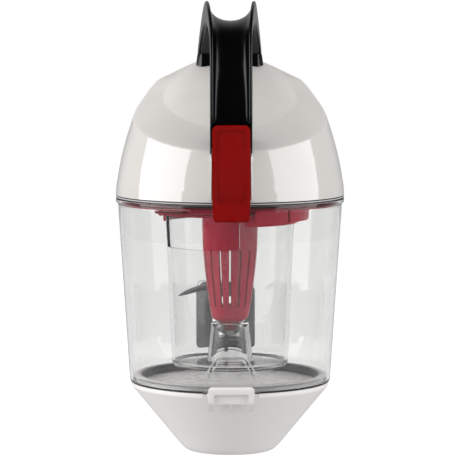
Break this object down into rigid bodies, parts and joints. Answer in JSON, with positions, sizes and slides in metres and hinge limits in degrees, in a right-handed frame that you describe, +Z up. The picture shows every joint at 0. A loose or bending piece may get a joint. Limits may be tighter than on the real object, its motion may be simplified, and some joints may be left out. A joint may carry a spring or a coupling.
{
  "type": "vacuum cleaner dust canister",
  "caption": "Clear bagless dust canister with cyclone separator, domed lid, carry handle, release lever and hinged conical bottom door with a latch.",
  "frame": {"origin": "centre of the flat base that the canister stands on, on the bin's own axis", "axes": "+Z up along the bin's axis, -Y to the front with the release lever and the door's latch, +X to the canister's right seen from the front"},
  "size_m": [0.165, 0.1819, 0.3246],
  "materials": {
    "white_plastic": "gloss",
    "light_grey_plastic": "satin",
    "grey_plastic": "satin",
    "black_plastic": "satin",
    "red_plastic": "gloss",
    "clear_plastic": "clear, gloss",
    "rubber_seal": "matt",
    "foam": "open-cell foam",
    "filter_paper": "matt",
    "steel": "plain"
  },
  "bodies": {
    "bin": {"dust_bin": "clear_plastic", "inlet_seal": "rubber_seal", "door_hinge_pin": "steel"},
    "separator": {"separator_frame": "red_plastic", "cone_grille": "red_plastic", "cyclone_cup": "clear_plastic", "cup_seal": "rubber_seal", "cone_support": "clear_plastic", "inlet_hood": "grey_plastic", "swirl_vane": "grey_plastic", "mouth_gasket": "rubber_seal", "pleated_filter": "filter_paper", "filter_frame": "light_grey_plastic", "foam_filter": "foam", "lid_hinge_pin": "steel", "grille_screw_1": "steel", "grille_screw_2": "steel", "grille_screw_3": "steel"},
    "lid": {"top_cover": "white_plastic", "carry_handle": "black_plastic", "lid_gasket": "rubber_seal", "outlet_grille": "grey_plastic", "outlet_seal": "rubber_seal", "lever_pin": "steel", "lever_spring": "steel", "handle_screw_1": "steel", "handle_screw_2": "steel", "handle_screw_3": "steel", "handle_screw_4": "steel"},
    "release_lever": {"lid_release_lever": "red_plastic"},
    "door": {"bottom_door": "white_plastic", "door_floor_plate": "light_grey_plastic", "door_seal": "rubber_seal", "latch_pin": "steel", "latch_spring": "steel", "floor_screw_1": "steel", "floor_screw_2": "steel", "floor_screw_3": "steel"},
    "latch": {"door_latch": "white_plastic"}
  },
  "joints": [
    {"name": "top_lift", "type": "slide", "parent": "bin", "child": "separator", "axis": [0, 0, 1], "range_m": [0, 0.13]},
    {"name": "lid_hinge", "type": "hinge", "parent": "separator", "child": "lid", "pos_m": [0, 0.087, 0.183], "axis": [-1, 0, 0], "range_deg": [0, 80]},
    {"name": "lid_release", "type": "hinge", "parent": "lid", "child": "release_lever", "pos_m": [0, -0.081, 0.214], "axis": [-1, 0, 0], "range_deg": [0, 12], "stiffness_Nm_per_rad": 0.05, "springref_deg": -17.19},
    {"name": "door_hinge", "type": "hinge", "parent": "bin", "child": "door", "pos_m": [0, 0.078, 0.051], "axis": [1, 0, 0], "range_deg": [0, 90]},
    {"name": "door_release", "type": "hinge", "parent": "door", "child": "latch", "pos_m": [0, -0.0728, 0.0465], "axis": [1, 0, 0], "range_deg": [0, 12], "stiffness_Nm_per_rad": 0.03, "springref_deg": -17.19}
  ]
}
